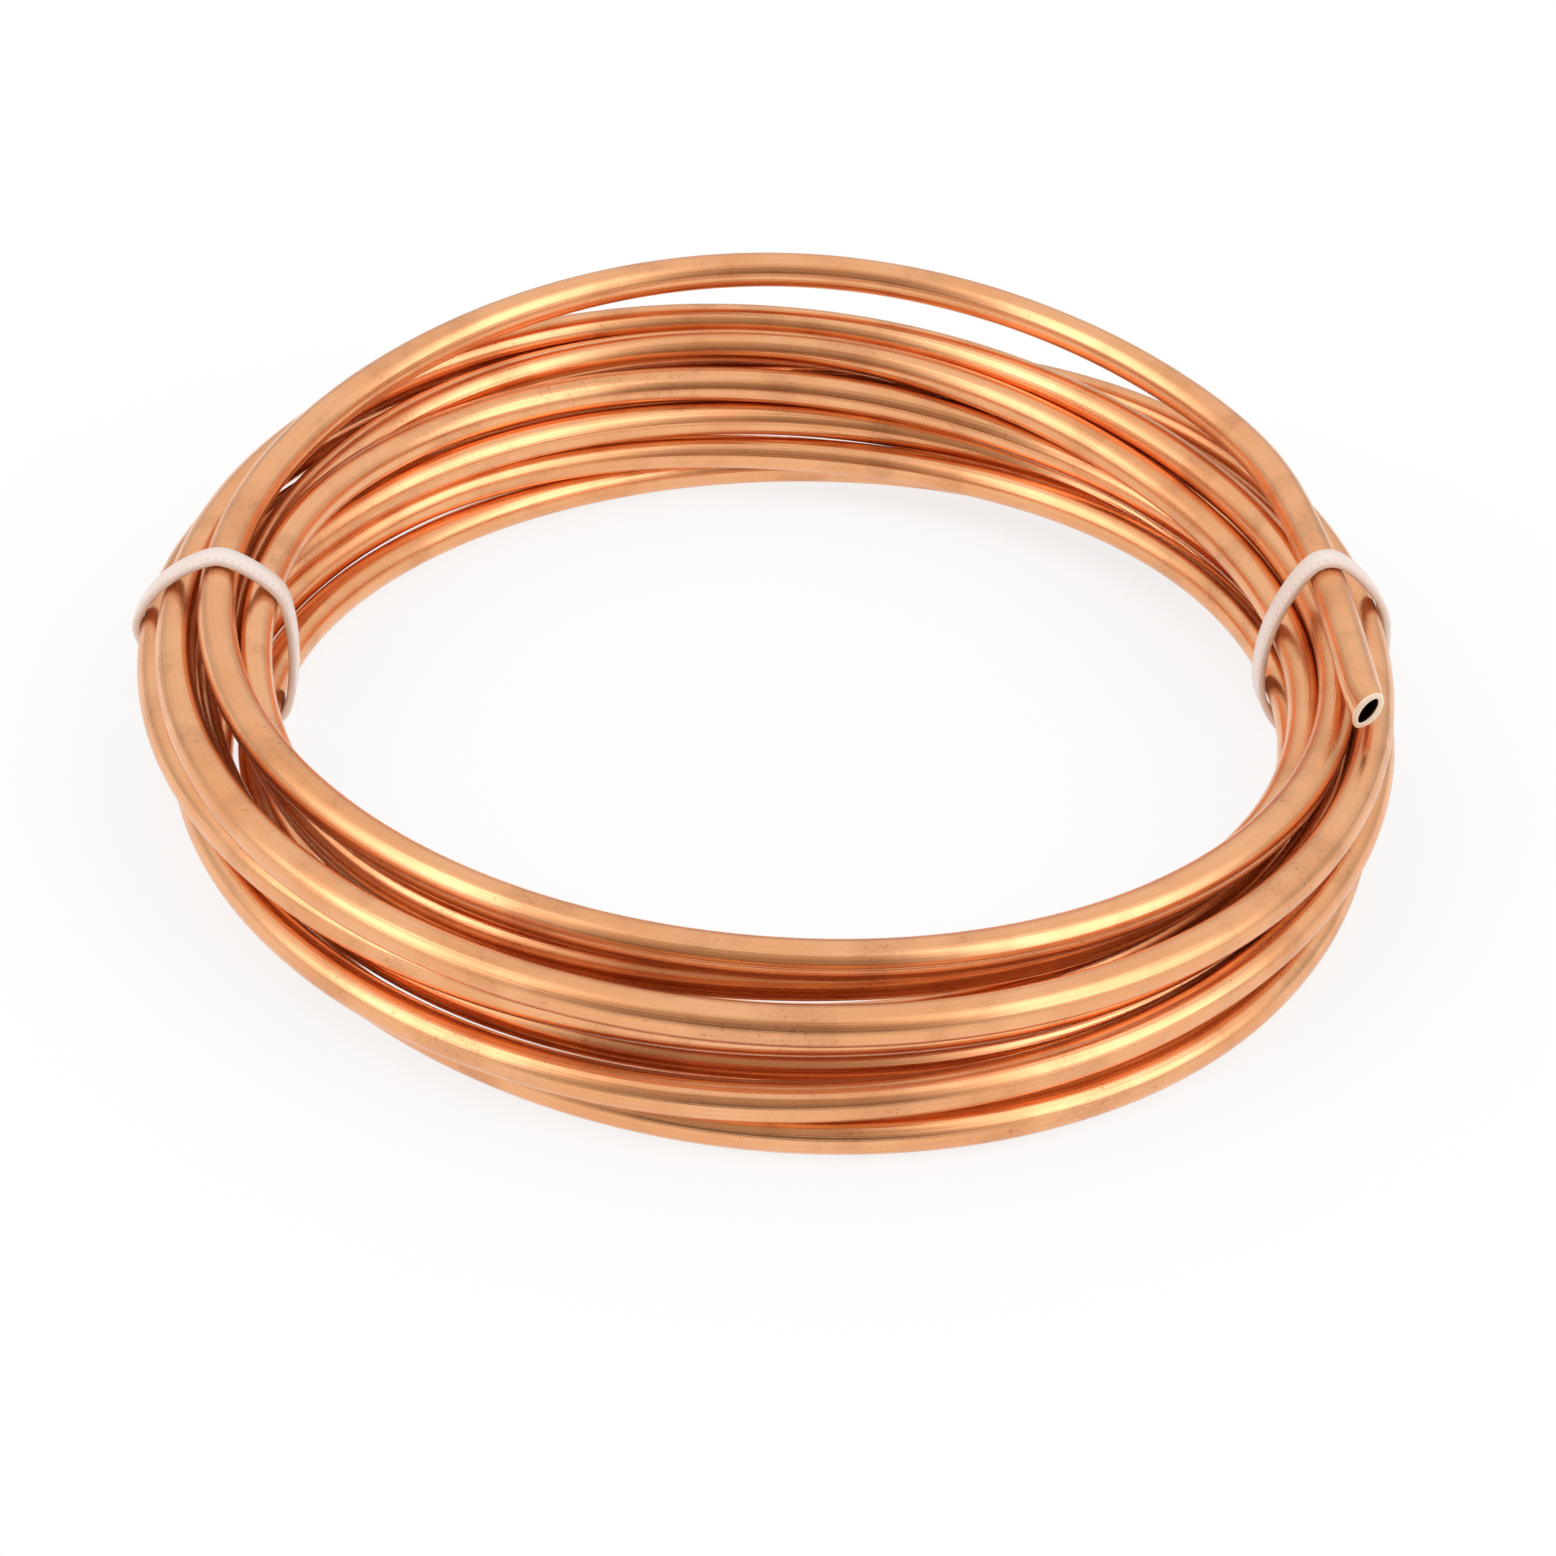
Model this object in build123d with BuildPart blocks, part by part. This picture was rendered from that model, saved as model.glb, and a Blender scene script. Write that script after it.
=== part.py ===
from build123d import *
import math
import os

# A coil of soft copper tube lying flat, held by two nylon cable ties.
# Millimetres, +Z up. The origin is on the floor, on the axis of the coil.
# +X is the coil's right and +Y its back, so the loose end on top lies at the right.

# Driving dimensions of the tube
TUBE_OD = 6.0
TUBE_WALL = 1.0

# Driving dimensions of the wound turns, stacked in columns across the ring and rows up it,
# where each row lies half a column off the rows next to it
COIL_MEAN_DIAMETER = 180.0
TURN_COLUMNS = 3
TURN_ROWS = 4
COLUMN_PITCH = 5.8
ROW_PITCH = 6.4
TURN_SIDES = 8

# Driving dimensions of the cable ties
RIGHT_TIE_ANGLE = 11.0
LEFT_TIE_ANGLE = 180.0
STRAP_WIDTH = 3.6
STRAP_THICKNESS = 1.1
STRAP_CLEARANCE = 0.3
STRAP_BOW = 2.6
HEAD_DEPTH = 4.2
HEAD_LENGTH = 5.4
HEAD_WIDTH = 5.6
HEAD_ROUNDING = 0.6
HEAD_LIFT = 0.3
TAIL_STUB = 1.2

# The loose turn on top: it starts with a straight end, springs up over the back between the
# ties, and goes down among the wound turns at the front left. Each line is a place on it:
# its angle round the coil, the column pitches it lies out from the mean radius, the tube
# diameters it lies up from the top row, and its climb for each millimetre along the tube.
END_RUN = 28.0
LOOSE_TURN = (
    (5.0, -0.13, 1.14, 0.0),
    (RIGHT_TIE_ANGLE, -0.1, 1.16, 0.04),
    (95.0, 1.25, 2.2, 0.0),
    (LEFT_TIE_ANGLE, -0.25, 0.9, -0.1),
    (238.0, -0.25, -0.75, 0.0),
)

# Sizes that follow from the driving dimensions
TUBE_RADIUS = TUBE_OD / 2
BORE_RADIUS = TUBE_RADIUS - TUBE_WALL
MEAN_RADIUS = COIL_MEAN_DIAMETER / 2
STACK_WIDTH = (TURN_COLUMNS - 1) * COLUMN_PITCH
STACK_HEIGHT = (TURN_ROWS - 1) * ROW_PITCH
ROW_STAGGER = COLUMN_PITCH / 2
STRAP_ROOM = STRAP_CLEARANCE + STRAP_THICKNESS
LOW_ROW = STRAP_ROOM + TUBE_RADIUS
TOP_ROW = LOW_ROW + STACK_HEIGHT
INNER_COLUMN = MEAN_RADIUS - (STACK_WIDTH + ROW_STAGGER) / 2


def row_place(row):
    """Radius and height of a row's middle turn: even rows lie inwards and odd rows outwards."""
    side = 1 if row % 2 else -1
    return MEAN_RADIUS + side * ROW_STAGGER / 2, LOW_ROW + row * ROW_PITCH


def loose_place(columns_out, diameters_up):
    """Radius and height of the loose turn's centre, from its place against the wound turns."""
    return MEAN_RADIUS + columns_out * COLUMN_PITCH, TOP_ROW + diameters_up * TUBE_OD


def station(angle, columns_out, diameters_up, climb):
    """A point of the loose turn and the way the tube runs there."""
    radius, height = loose_place(columns_out, diameters_up)
    turned = math.radians(angle)
    point = Vector(radius * math.cos(turned), radius * math.sin(turned), height)
    return point, Vector(-math.sin(turned), math.cos(turned), climb).normalized()


def arc_joint(start, start_way, end, end_way):
    """Where two arcs meet that lead smoothly from one point and direction to another."""
    chord = end - start
    along = chord.dot(start_way + end_way)
    turn = 2.0 * (1.0 - start_way.dot(end_way))
    reach = (math.sqrt(along**2 + turn * chord.dot(chord)) - along) / turn
    first = start + start_way * reach
    second = end - end_way * reach
    return (first + second) / 2, (second - first).normalized()


def radial_plane(angle):
    """The upright plane through the coil's axis at an angle: its x runs outwards, its y up."""
    turned = math.radians(angle)
    outwards = (math.cos(turned), math.sin(turned), 0.0)
    across = (math.sin(turned), -math.cos(turned), 0.0)
    return Plane(origin=(0, 0, 0), x_dir=outwards, z_dir=across)


rows = [row_place(row) for row in range(TURN_ROWS)]
stations = [station(*place) for place in LOOSE_TURN]
end_start, end_way = stations[0]
end_tip = end_start - end_way * END_RUN

# The tube: the wound turns as one turned ring with its bore, and the loose turn with its open end
with BuildPart() as copper_tube:
    with BuildSketch(Plane.XZ) as wound_section:
        with Locations((MEAN_RADIUS, (LOW_ROW + TOP_ROW) / 2)):
            Rectangle(STACK_WIDTH, STACK_HEIGHT)
        with Locations(*rows):
            with GridLocations(COLUMN_PITCH, ROW_PITCH, TURN_COLUMNS, 1):
                RegularPolygon(TUBE_RADIUS, side_count=TURN_SIDES)
    revolve(axis=Axis.Z)
    with BuildLine() as route:
        Line(end_tip, end_start)
        for (start, start_way), (end, way_on) in zip(stations, stations[1:]):
            joint, joint_way = arc_joint(start, start_way, end, way_on)
            TangentArc(start, joint, tangent=start_way)
            TangentArc(joint, end, tangent=joint_way)
    with BuildSketch(Plane(origin=end_tip, z_dir=end_way)):
        Circle(TUBE_RADIUS)
    sweep(path=route.wire())
    with BuildSketch(Plane(origin=end_tip, z_dir=end_way)):
        Circle(BORE_RADIUS)
    extrude(amount=END_RUN, mode=Mode.SUBTRACT)
copper_tube.part.label = "copper_tube"


def cable_tie(angle):
    """One nylon tie drawn round the wound turns and the loose turn where it crosses the coil.

    The strap is the hull of what it holds, and bows out on the coil's inner side. Its head
    sits outside the lowest row of turns, with the cut tail standing out of its upper end.
    """
    plane = radial_plane(angle)
    held = [(middle + side * STACK_WIDTH / 2, up) for middle, up in rows for side in (-1, 1)]
    held.append((INNER_COLUMN - STRAP_BOW, (LOW_ROW + TOP_ROW) / 2))
    held += [loose_place(out, up) for at, out, up, _ in LOOSE_TURN if at == angle]
    head_side = rows[0][0] + STACK_WIDTH / 2 + TUBE_RADIUS + STRAP_CLEARANCE
    head_out = head_side + HEAD_DEPTH / 2
    head_up = HEAD_LIFT + HEAD_LENGTH / 2
    tail_out = head_side + HEAD_DEPTH - STRAP_THICKNESS
    with BuildPart() as tie:
        with BuildSketch(plane):
            with Locations(*held):
                Circle(TUBE_RADIUS + STRAP_ROOM)
            make_hull()
        extrude(amount=STRAP_WIDTH / 2, both=True)
        with BuildSketch(plane):
            with Locations(*held):
                Circle(TUBE_RADIUS + STRAP_CLEARANCE)
            make_hull()
        extrude(amount=STRAP_WIDTH / 2, both=True, mode=Mode.SUBTRACT)
        with BuildSketch(plane):
            with Locations((head_out, head_up)):
                RectangleRounded(HEAD_DEPTH, HEAD_LENGTH, HEAD_ROUNDING)
        extrude(amount=HEAD_WIDTH / 2, both=True)
        with BuildSketch(plane):
            with Locations((tail_out, head_up + HEAD_LENGTH / 2)):
                Rectangle(STRAP_THICKNESS, 2 * TAIL_STUB)
        extrude(amount=STRAP_WIDTH / 2, both=True)
    return tie


cable_tie_right = cable_tie(RIGHT_TIE_ANGLE)
cable_tie_right.part.label = "cable_tie_right"
cable_tie_left = cable_tie(LEFT_TIE_ANGLE)
cable_tie_left.part.label = "cable_tie_left"

os.makedirs("parts", exist_ok=True)
export_step(copper_tube.part, "parts/copper_tube.step")
export_step(cable_tie_right.part, "parts/cable_tie_right.step")
export_step(cable_tie_left.part, "parts/cable_tie_left.step")

print(f"loose turn length {route.wire().length:.1f}, from {end_tip} along {end_way}")
print(f"solid volume {copper_tube.part.volume:.1f}, valid {copper_tube.part.is_valid}")
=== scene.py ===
import logging
import math
from dataclasses import dataclass, field
from enum import Enum

import bpy
import numpy as np
from mathutils import Matrix


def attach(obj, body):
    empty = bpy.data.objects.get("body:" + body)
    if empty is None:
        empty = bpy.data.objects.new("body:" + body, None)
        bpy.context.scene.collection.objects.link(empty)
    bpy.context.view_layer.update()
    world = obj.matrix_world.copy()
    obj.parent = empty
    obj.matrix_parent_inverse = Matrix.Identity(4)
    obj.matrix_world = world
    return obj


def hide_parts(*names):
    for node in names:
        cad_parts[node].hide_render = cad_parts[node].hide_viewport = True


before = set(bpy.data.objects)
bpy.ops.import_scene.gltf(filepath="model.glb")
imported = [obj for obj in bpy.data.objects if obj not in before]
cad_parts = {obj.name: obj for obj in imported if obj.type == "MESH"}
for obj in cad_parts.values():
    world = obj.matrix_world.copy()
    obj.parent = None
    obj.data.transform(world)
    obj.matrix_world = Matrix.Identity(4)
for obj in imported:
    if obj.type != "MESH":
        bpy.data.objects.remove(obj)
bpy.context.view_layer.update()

BODY = "root"
MM = 0.001

DRAWN = "drawn"
STRAP = "strap"

Colour = tuple[float, float, float, float]
Triple = tuple[float, float, float]
Span = tuple[float, float]

LOG = logging.getLogger("copper_tube_coil")


class Slot(Enum):
    """The record's material slots."""

    COPPER = "copper"
    NYLON = "nylon"


class TubeFace(Enum):
    """The kinds of surface along the tube, as material indices of its mesh."""

    OUTSIDE = 0
    CUT = 1
    BORE = 2


class Side(Enum):
    """The two cable ties, by the CAD node that each one stands for."""

    RIGHT = "cable_tie_right"
    LEFT = "cable_tie_left"


def smooth_step(share: np.ndarray) -> np.ndarray:
    """Eases from 0 to 1 as share goes from 0 to 1: 3 s squared minus 2 s cubed, held outside.

    Args:
        share: Any array of shares.

    Returns:
        The eased shares, of the same shape.
    """
    held = np.clip(share, 0.0, 1.0)
    return held * held * (3.0 - 2.0 * held)


def natural_cubic(knots: np.ndarray, at: np.ndarray) -> np.ndarray:
    """Evaluates a natural cubic curve through knots that stand one unit of its parameter apart.

    The second derivatives m solve m[i-1] + 4 m[i] + m[i+1] = 6 (k[i-1] - 2 k[i] + k[i+1]),
    with none at the two ends.

    Args:
        knots: Places to pass through, one row each.
        at: Parameters to evaluate, from 0 to the number of knots less one.

    Returns:
        One row for each parameter.
    """
    count = len(knots)
    system = np.eye(count)
    inner = np.arange(1, count - 1)
    system[inner, inner - 1] = 1.0
    system[inner, inner] = 4.0
    system[inner, inner + 1] = 1.0
    bends = np.zeros_like(knots)
    bends[1:-1] = 6.0 * (knots[:-2] - 2.0 * knots[1:-1] + knots[2:])
    second = np.linalg.solve(system, bends)
    span = np.clip(np.floor(at).astype(int), 0, count - 2)
    ahead = (at - span)[:, None]
    behind = 1.0 - ahead
    straight = behind * knots[span] + ahead * knots[span + 1]
    bend = (behind**3 - behind) * second[span] + (ahead**3 - ahead) * second[span + 1]
    return straight + bend / 6.0


def grid_faces(rows: int, columns: int, closed: bool = False) -> np.ndarray:
    """Quads of a grid that is closed round its columns.

    Args:
        rows: Rings in the grid.
        columns: Points in each ring.
        closed: Whether the last ring joins the first.

    Returns:
        Four vertex numbers for each quad, ring by ring.
    """
    ring = np.arange(rows if closed else rows - 1)[:, None]
    here = np.arange(columns)[None, :]
    beyond = (here + 1) % columns
    low, high = ring * columns, (ring + 1) % rows * columns
    return np.stack([low + here, low + beyond, high + beyond, high + here], axis=-1).reshape(-1, 4)


def gone_along(line: np.ndarray) -> np.ndarray:
    """The distance gone at each point of a line: the running sum of its segments' lengths.

    Args:
        line: Points in order, one row each.

    Returns:
        One distance for each point, from 0.
    """
    return np.concatenate([[0.0], np.cumsum(np.linalg.norm(np.diff(line, axis=0), axis=1))])


def at_distances(line: np.ndarray, gone: np.ndarray, distances: np.ndarray) -> np.ndarray:
    """Values of a line at distances along it, straight between its points.

    Args:
        line: Values in order, one row each.
        gone: The distance gone at each row.
        distances: Where to take the values.

    Returns:
        One row for each distance.
    """
    return np.stack([np.interp(distances, gone, line[:, axis]) for axis in range(line.shape[1])], axis=1)


def bell_curve(offsets: np.ndarray, width: float) -> np.ndarray:
    """A bell curve over offsets that adds up to 1: e to the minus half of offset over width squared.

    Args:
        offsets: Distances from the middle of the bell.
        width: The bell's width, in the offsets' unit.

    Returns:
        The weight at each offset.
    """
    bell = np.exp(-0.5 * (offsets / width) ** 2)
    return bell / bell.sum()


def make_piece(
    name: str, points: np.ndarray, faces: list[list[int]], smooth: bool = True
) -> bpy.types.Object:
    """Puts a surface into a new object that sits at the origin.

    Args:
        name: The piece's name.
        points: Its vertices in metres, one row each.
        faces: Vertex numbers of each face, outwards.
        smooth: Whether its faces are shaded smooth.

    Returns:
        The new object, linked into the scene.
    """
    mesh = bpy.data.meshes.new(name)
    mesh.from_pydata(points.tolist(), [], faces)
    mesh.polygons.foreach_set("use_smooth", np.full(len(mesh.polygons), smooth))
    mesh.update()
    piece = bpy.data.objects.new(name, mesh)
    bpy.context.scene.collection.objects.link(piece)
    return piece


def add_attribute(piece: bpy.types.Object, name: str, values: np.ndarray) -> None:
    """Stores a vector for each vertex of a piece, for its material to read.

    Args:
        piece: The piece.
        name: The attribute's name.
        values: One row of three numbers for each vertex.
    """
    attribute = piece.data.attributes.new(name, "FLOAT_VECTOR", "POINT")
    attribute.data.foreach_set("vector", np.ascontiguousarray(values, dtype=np.float32).ravel())


class Graph:
    """A node tree with short ways to add its nodes and join them."""

    def __init__(self, tree: bpy.types.NodeTree) -> None:
        """Keeps the tree and empties it."""
        self.tree = tree
        tree.nodes.clear()

    def node(self, kind: str, **settings: object) -> bpy.types.Node:
        """Adds a node.

        Args:
            kind: The node's type.
            **settings: Properties of the node.

        Returns:
            The new node.
        """
        made = self.tree.nodes.new(kind)
        for key, value in settings.items():
            setattr(made, key, value)
        return made

    def put(self, target: bpy.types.NodeSocket, value: object) -> None:
        """Feeds a socket from another socket, or sets its value."""
        if isinstance(value, bpy.types.NodeSocket):
            self.tree.links.new(value, target)
        else:
            target.default_value = value

    def feed(self, node: bpy.types.Node, values: dict[str, object]) -> None:
        """Feeds or sets sockets of a node by their names."""
        for name, value in values.items():
            self.put(node.inputs[name], value)

    def math(self, operation: str, first: object, second: object = 0.0) -> bpy.types.NodeSocket:
        """Works out a number from two others.

        Args:
            operation: The Math node's operation.
            first: A socket or a number.
            second: A socket or a number.

        Returns:
            The result's socket.
        """
        made = self.node("ShaderNodeMath", operation=operation)
        self.put(made.inputs[0], first)
        self.put(made.inputs[1], second)
        return made.outputs[0]

    def times(self, *factors: object) -> bpy.types.NodeSocket:
        """The product of two or more sockets or numbers."""
        product = factors[0]
        for factor in factors[1:]:
            product = self.math("MULTIPLY", product, factor)
        return product

    def within(self, value: object, middle: float, reach: float) -> bpy.types.NodeSocket:
        """Is 1 where a value lies within a reach of a middle, and 0 elsewhere."""
        off = self.math("ABSOLUTE", self.math("SUBTRACT", value, middle))
        return self.math("LESS_THAN", off, reach)

    def ramp(
        self, value: object, low: float, high: float, to_low: float = 0.0, to_high: float = 1.0
    ) -> bpy.types.NodeSocket:
        """Maps a range of a value smoothly onto another range.

        Args:
            value: The socket to map.
            low: Where the range starts.
            high: Where the range ends.
            to_low: The result at the start.
            to_high: The result at the end.

        Returns:
            The result's socket.
        """
        made = self.node("ShaderNodeMapRange", interpolation_type="SMOOTHSTEP")
        ends = {"From Min": low, "From Max": high, "To Min": to_low, "To Max": to_high}
        self.feed(made, {"Value": value, **ends})
        return made.outputs["Result"]

    def fall(self, value: object, low: float, high: float) -> bpy.types.NodeSocket:
        """Falls smoothly from 1 to 0 as a value goes from low to high."""
        return self.ramp(value, low, high, 1.0, 0.0)

    def mix(self, share: object, first: object, second: object) -> bpy.types.NodeSocket:
        """Mixes two colours.

        Args:
            share: How much of the second one, from 0 to 1.
            first: A colour or a socket.
            second: A colour or a socket.

        Returns:
            The mixed colour's socket.
        """
        made = self.node("ShaderNodeMix", data_type="RGBA")
        self.feed(made, {"Factor": share, "A": first, "B": second})
        return made.outputs["Result"]

    def noise(
        self, vector: object, scale: float = 1.0, detail: float = 3.0, stretch: Triple = (1.0, 1.0, 1.0)
    ) -> bpy.types.NodeSocket:
        """A cloud pattern on stretched coordinates.

        Args:
            vector: The coordinates' socket.
            scale: The pattern's scale.
            detail: How many finer layers it has.
            stretch: The factor on each coordinate.

        Returns:
            The pattern's socket, from 0 to 1.
        """
        mapping = self.node("ShaderNodeMapping")
        self.feed(mapping, {"Vector": vector, "Scale": stretch})
        made = self.node("ShaderNodeTexNoise")
        self.feed(made, {"Vector": mapping.outputs["Vector"], "Scale": scale, "Detail": detail})
        return made.outputs["Fac"]

    def attribute(self, name: str) -> bpy.types.NodeSocket:
        """The socket of a vector that the mesh carries."""
        return self.node("ShaderNodeAttribute", attribute_name=name).outputs["Vector"]

    def surface(self, socket: bpy.types.NodeSocket) -> None:
        """Puts a shader on the material's surface."""
        self.put(self.node("ShaderNodeOutputMaterial").inputs["Surface"], socket)


def start_material(name: str) -> tuple[bpy.types.Material, Graph]:
    """Makes a named material with an empty graph, and returns both."""
    made = bpy.data.materials.new(name)
    made.use_nodes = True
    return made, Graph(made.node_tree)


@dataclass(frozen=True)
class MaskGroup:
    """A node group, made once, with an input for coordinates and an output for each mask."""

    name: str
    outputs: tuple[str, ...]

    def masks(self, graph: Graph, vector: bpy.types.NodeSocket) -> list[bpy.types.NodeSocket]:
        """The masks inside the group, in the order of its outputs."""
        raise NotImplementedError

    def group(self) -> bpy.types.NodeTree:
        """The node group, made at the first call.

        Returns:
            The group's tree.
        """
        made = bpy.data.node_groups.get(self.name)
        if made is not None:
            return made
        made = bpy.data.node_groups.new(self.name, "ShaderNodeTree")
        made.interface.new_socket("Vector", in_out="INPUT", socket_type="NodeSocketVector")
        for output in self.outputs:
            made.interface.new_socket(output, in_out="OUTPUT", socket_type="NodeSocketFloat")
        graph = Graph(made)
        vector = graph.node("NodeGroupInput").outputs["Vector"]
        out = graph.node("NodeGroupOutput")
        for output, mask in zip(self.outputs, self.masks(graph, vector)):
            graph.put(out.inputs[output], mask)
        return made

    def place(self, graph: Graph, vector: object) -> list[bpy.types.NodeSocket]:
        """Places the group in a material.

        Args:
            graph: The material's graph.
            vector: The coordinates' socket.

        Returns:
            The masks' sockets, in the order of the outputs.
        """
        made = graph.node("ShaderNodeGroup", node_tree=self.group())
        graph.put(made.inputs["Vector"], vector)
        return [made.outputs[output] for output in self.outputs]


@dataclass(frozen=True)
class HandlingMarks(MaskGroup):
    """The marks that handling leaves: cloudy smears and small sharp specks, at places in metres."""

    name: str = "handling_marks"
    outputs: tuple[str, ...] = ("Smear", "Speck")
    smear_scale: float = 55.0
    smear_range: Span = (0.38, 0.66)
    speck_scale: float = 1100.0
    speck_range: Span = (0.74, 0.8)

    def masks(self, graph: Graph, vector: bpy.types.NodeSocket) -> list[bpy.types.NodeSocket]:
        """The smears and the specks."""
        smear = graph.noise(vector, self.smear_scale)
        speck = graph.noise(vector, self.speck_scale, detail=1.0)
        return [graph.ramp(smear, *self.smear_range), graph.ramp(speck, *self.speck_range)]


@dataclass(frozen=True)
class DrawingLines(MaskGroup):
    """Fine lines along the tube from the die that it was drawn through.

    The coordinates are the cosine and sine of the angle round the tube and metres along it,
    so the lines close round the tube, many round it and long along it.
    """

    name: str = "drawing_lines"
    outputs: tuple[str, ...] = ("Lines",)
    stretch: Triple = (7.0, 7.0, 9.0)
    line_range: Span = (0.3, 0.7)

    def masks(self, graph: Graph, vector: bpy.types.NodeSocket) -> list[bpy.types.NodeSocket]:
        """The lines."""
        return [graph.ramp(graph.noise(vector, detail=4.0, stretch=self.stretch), *self.line_range)]


@dataclass(frozen=True)
class Finish:
    """A material with one surface shader, made from named values."""

    name: str

    def dress(self, graph: Graph, shader: bpy.types.Node) -> None:
        """Feeds the surface shader from the graph."""
        raise NotImplementedError

    def make(self) -> bpy.types.Material:
        """Builds the material.

        Returns:
            The material.
        """
        made, graph = start_material(self.name)
        shader = graph.node("ShaderNodeBsdfPrincipled")
        self.dress(graph, shader)
        graph.surface(shader.outputs["BSDF"])
        return made


@dataclass(frozen=True)
class CopperFinish(Finish):
    """Bright satin copper, drawn lengthwise, handled, and here and there a little red or brown."""

    name: str = "satin_copper"
    bright: Colour = (0.93, 0.48, 0.245, 1.0)
    warm: Colour = (0.86, 0.395, 0.18, 1.0)
    brown: Colour = (0.5, 0.2, 0.085, 1.0)
    roughness: Span = (0.19, 0.31)
    smear_tone: float = 0.8
    line_tone: float = 0.4
    grain_scale: float = 1500.0
    grain_range: Span = (0.5, 0.8)
    grain_tone: float = 0.1
    patch_scale: float = 95.0
    patch_range: Span = (0.46, 0.68)
    patch_tone: Span = (0.3, 0.72)
    speck_tone: float = 0.45
    line_wear: float = 0.6
    smear_wear: float = 0.4
    line_depth: float = 0.02 * MM

    def dress(self, graph: Graph, shader: bpy.types.Node) -> None:
        """Mixes tarnish, lines and marks into the colour, the shine and a fine relief."""
        place = graph.node("ShaderNodeTexCoord").outputs["Object"]
        (lines,) = DrawingLines().place(graph, graph.attribute(DRAWN))
        smear, speck = HandlingMarks().place(graph, place)
        tone = graph.mix(graph.times(smear, self.smear_tone), self.bright, self.warm)
        tone = graph.mix(graph.times(lines, self.line_tone), tone, self.warm)
        grain = graph.ramp(graph.noise(place, self.grain_scale), *self.grain_range)
        patch = graph.ramp(graph.noise(place, self.patch_scale), *self.patch_range)
        tarnish = graph.times(patch, graph.ramp(grain, 0.0, 1.0, *self.patch_tone))
        tarnish = graph.math("ADD", tarnish, graph.times(grain, self.grain_tone))
        tone = graph.mix(tarnish, tone, self.brown)
        tone = graph.mix(graph.times(speck, self.speck_tone), tone, self.brown)
        worn = graph.math("ADD", graph.times(lines, self.line_wear), graph.times(smear, self.smear_wear))
        rough = graph.ramp(worn, 0.0, 1.0, *self.roughness)
        bump = graph.node("ShaderNodeBump")
        graph.feed(bump, {"Distance": self.line_depth, "Height": lines})
        relief = bump.outputs["Normal"]
        graph.feed(shader, {"Metallic": 1.0, "Base Color": tone, "Roughness": rough, "Normal": relief})


@dataclass(frozen=True)
class CutFinish(Finish):
    """The freshly cut rim of the tube, pale and bright, with fine saw lines across it."""

    name: str = "cut_copper"
    bright: Colour = (0.98, 0.86, 0.7, 1.0)
    dull: Colour = (0.94, 0.74, 0.54, 1.0)
    metallic: float = 0.3
    saw_stretch: Triple = (300.0, 300.0, 4000.0)
    saw_tone: float = 0.6
    saw_range: Span = (0.2, 0.8)
    speck_tone: float = 0.4
    roughness: Span = (0.32, 0.5)

    def dress(self, graph: Graph, shader: bpy.types.Node) -> None:
        """Mixes saw lines and specks into the colour and the shine."""
        place = graph.node("ShaderNodeTexCoord").outputs["Object"]
        _, speck = HandlingMarks().place(graph, place)
        saw = graph.noise(place, detail=2.0, stretch=self.saw_stretch)
        tone = graph.mix(graph.times(saw, self.saw_tone), self.bright, self.dull)
        tone = graph.mix(graph.times(speck, self.speck_tone), tone, self.dull)
        rough = graph.ramp(saw, *self.saw_range, *self.roughness)
        graph.feed(shader, {"Metallic": self.metallic, "Base Color": tone, "Roughness": rough})


@dataclass(frozen=True)
class BoreFinish(Finish):
    """The inside of the tube, its colour darkened almost to black as painted shade in the deep bore."""

    name: str = "painted_shade_bore"
    # Both colours are painted shade: copper darkened almost to black, as the deep bore looks in shadow.
    painted_shade: Colour = (0.035, 0.016, 0.009, 1.0)
    brown: Colour = (0.12, 0.05, 0.025, 1.0)
    metallic: float = 0.8
    line_tone: float = 0.5
    roughness: Span = (0.5, 0.65)

    def dress(self, graph: Graph, shader: bpy.types.Node) -> None:
        """Mixes brown drawing lines into the base colour and the shine; both colours are darkened as
        painted shade.
        """
        (lines,) = DrawingLines().place(graph, graph.attribute(DRAWN))
        tone = graph.mix(graph.times(lines, self.line_tone), self.painted_shade, self.brown)
        rough = graph.ramp(lines, 0.0, 1.0, *self.roughness)
        graph.feed(shader, {"Metallic": self.metallic, "Base Color": tone, "Roughness": rough})


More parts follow.
